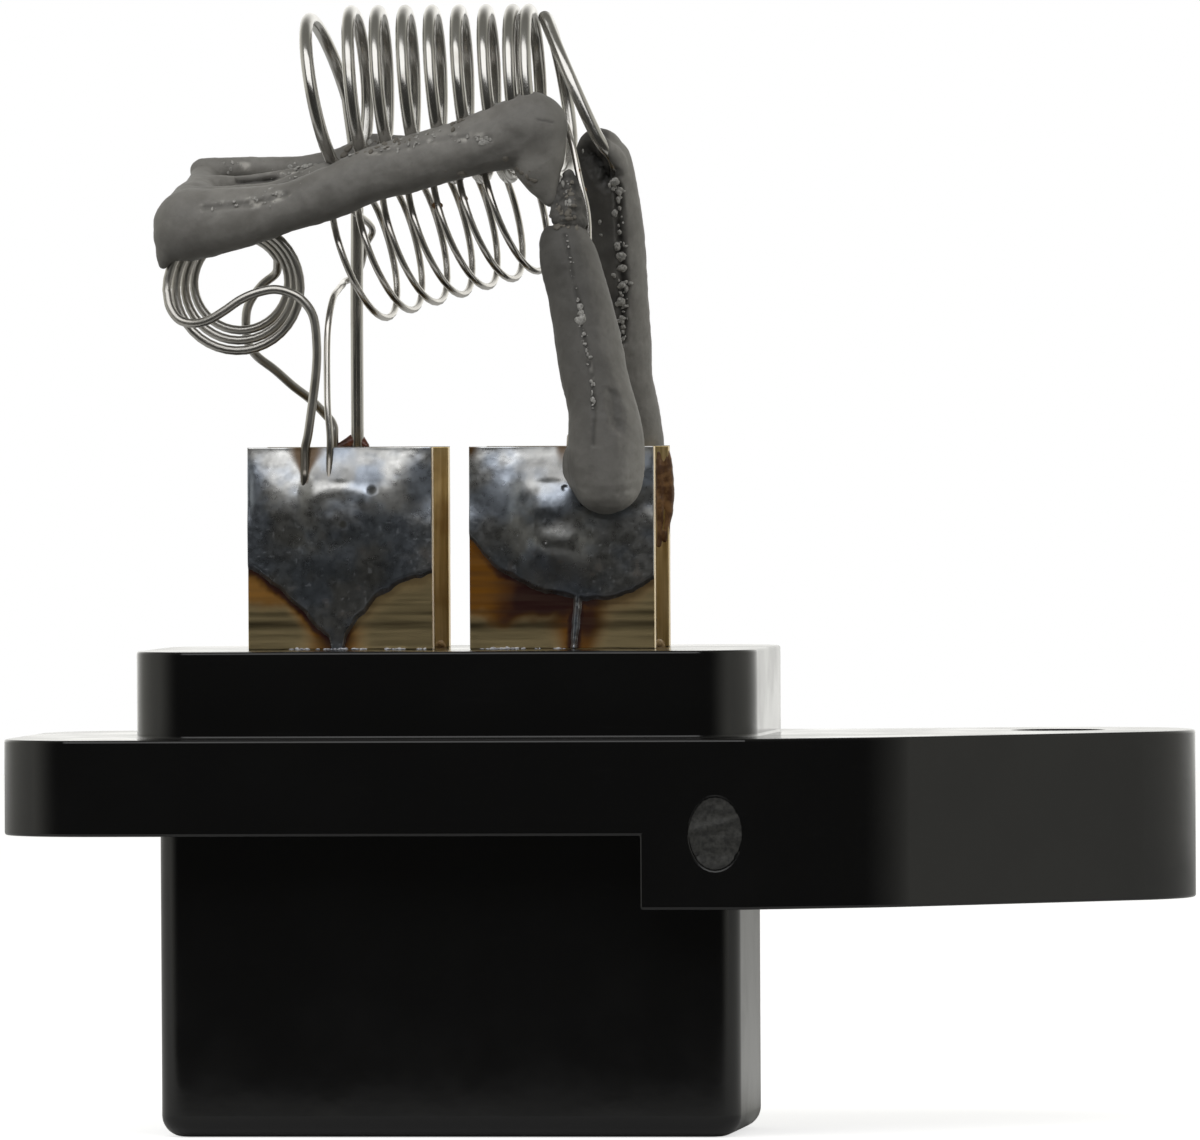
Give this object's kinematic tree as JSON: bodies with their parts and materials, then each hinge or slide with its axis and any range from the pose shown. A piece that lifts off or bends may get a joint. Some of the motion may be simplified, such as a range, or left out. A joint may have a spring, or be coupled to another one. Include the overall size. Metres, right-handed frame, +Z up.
{
  "type": "blower motor resistor",
  "caption": "Moulded plug-in base with a screw ear and a connector socket, carrying soldered brass terminals joined by wound resistance coils set in cement beads.",
  "frame": {"origin": "middle of the boss on the flange's top face, the plane on which the duct wall seats", "axes": "+X along the base towards the screw ear, +Y from the front terminals to the rear ones, +Z up out of the duct face towards the coils"},
  "size_m": [0.0644, 0.0281, 0.0621],
  "materials": {
    "housing": "moulded gloss black",
    "brass": "rolled brass with flux stains",
    "solder": "dull tin solder",
    "wire": "drawn resistance wire",
    "cement": "matte air-dried cement"
  },
  "bodies": {
    "root": {"housing": "housing", "terminal_front_left": "brass", "terminal_front_right": "brass", "terminal_rear_left": "brass", "terminal_rear_right": "brass", "solder_front_left": "solder", "solder_front_right": "solder", "solder_rear_left": "solder", "solder_rear_right": "solder", "heavy_coil": "wire", "fine_coil": "wire", "small_coil": "wire", "coil_cement": "cement", "front_post_cement": "cement", "rear_post_cement": "cement"}
  },
  "joints": []
}
